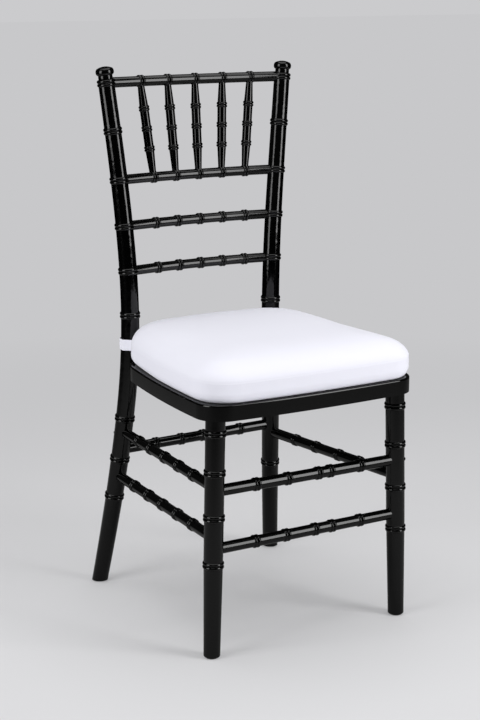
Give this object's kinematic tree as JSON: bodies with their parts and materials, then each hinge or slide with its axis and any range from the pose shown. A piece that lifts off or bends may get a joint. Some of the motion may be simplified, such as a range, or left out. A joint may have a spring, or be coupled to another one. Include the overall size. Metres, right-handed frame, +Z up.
{
  "type": "chiavari chair",
  "caption": "Turned wooden banquet chair with ringed legs and back rails, a row of back spindles, a low seat frame and a strapped-on white seat cushion.",
  "frame": {"origin": "on the floor under the middle of the chair's outer box", "axes": "+Z up, -Y towards the front of the chair, +X to the right of a person who faces it; the frame is symmetric about X = 0 apart from the stretchers"},
  "size_m": [0.3984, 0.4533, 0.9153],
  "materials": {
    "black_lacquer": "beech sprayed with black lacquer, satin to gloss",
    "beech": "bare turned beech dowel",
    "board": "thin bare plywood",
    "zinc_steel": "bright zinc plated",
    "insert_brass": "plain turned brass",
    "glide_plastic": "black nylon",
    "white_cover": "smooth white upholstery cover",
    "foam": "open-cell cushion foam",
    "strap_webbing": "white hook-and-loop strap"
  },
  "bodies": {
    "chair": {"back_post_left": "black_lacquer", "back_post_right": "black_lacquer", "corner_block_front_left": "black_lacquer", "corner_block_front_right": "black_lacquer", "corner_block_rear_left": "black_lacquer", "corner_block_rear_right": "black_lacquer", "corner_block_screws": "zinc_steel", "foot_glide_front_left": "glide_plastic", "foot_glide_front_right": "glide_plastic", "foot_glide_rear_left": "glide_plastic", "foot_glide_rear_right": "glide_plastic", "frame_dowels": "beech", "front_leg_left": "black_lacquer", "front_leg_right": "black_lacquer", "front_leg_screws": "zinc_steel", "front_stretcher_lower": "black_lacquer", "front_stretcher_upper": "black_lacquer", "glide_nails": "zinc_steel", "left_stretcher_lower": "black_lacquer", "left_stretcher_upper": "black_lacquer", "lower_rail": "black_lacquer", "middle_rail": "black_lacquer", "post_bolt_inserts": "insert_brass", "post_bolt_washers": "zinc_steel", "post_bolts": "zinc_steel", "rear_stretcher": "black_lacquer", "right_stretcher": "black_lacquer", "seat_panel": "black_lacquer", "seat_panel_screws": "zinc_steel", "seat_rail_front": "black_lacquer", "seat_rail_left": "black_lacquer", "seat_rail_rear": "black_lacquer", "seat_rail_right": "black_lacquer", "spindle_1": "black_lacquer", "spindle_2": "black_lacquer", "spindle_3": "black_lacquer", "spindle_4": "black_lacquer", "spindle_5": "black_lacquer", "spindle_rail": "black_lacquer", "stretcher_pins": "black_lacquer", "top_rail": "black_lacquer"},
    "cushion": {"cushion_base_board": "board", "cushion_cover": "white_cover", "cushion_foam": "foam", "cushion_strap_left": "strap_webbing", "cushion_strap_right": "strap_webbing", "strap_patch_left": "strap_webbing", "strap_patch_right": "strap_webbing", "strap_tabs_left": "strap_webbing", "strap_tabs_right": "strap_webbing"}
  },
  "joints": [
    {"name": "cushion_lift", "type": "slide", "parent": "chair", "child": "cushion", "axis": [0, 0, 1], "range_m": [0, 0.02]}
  ]
}
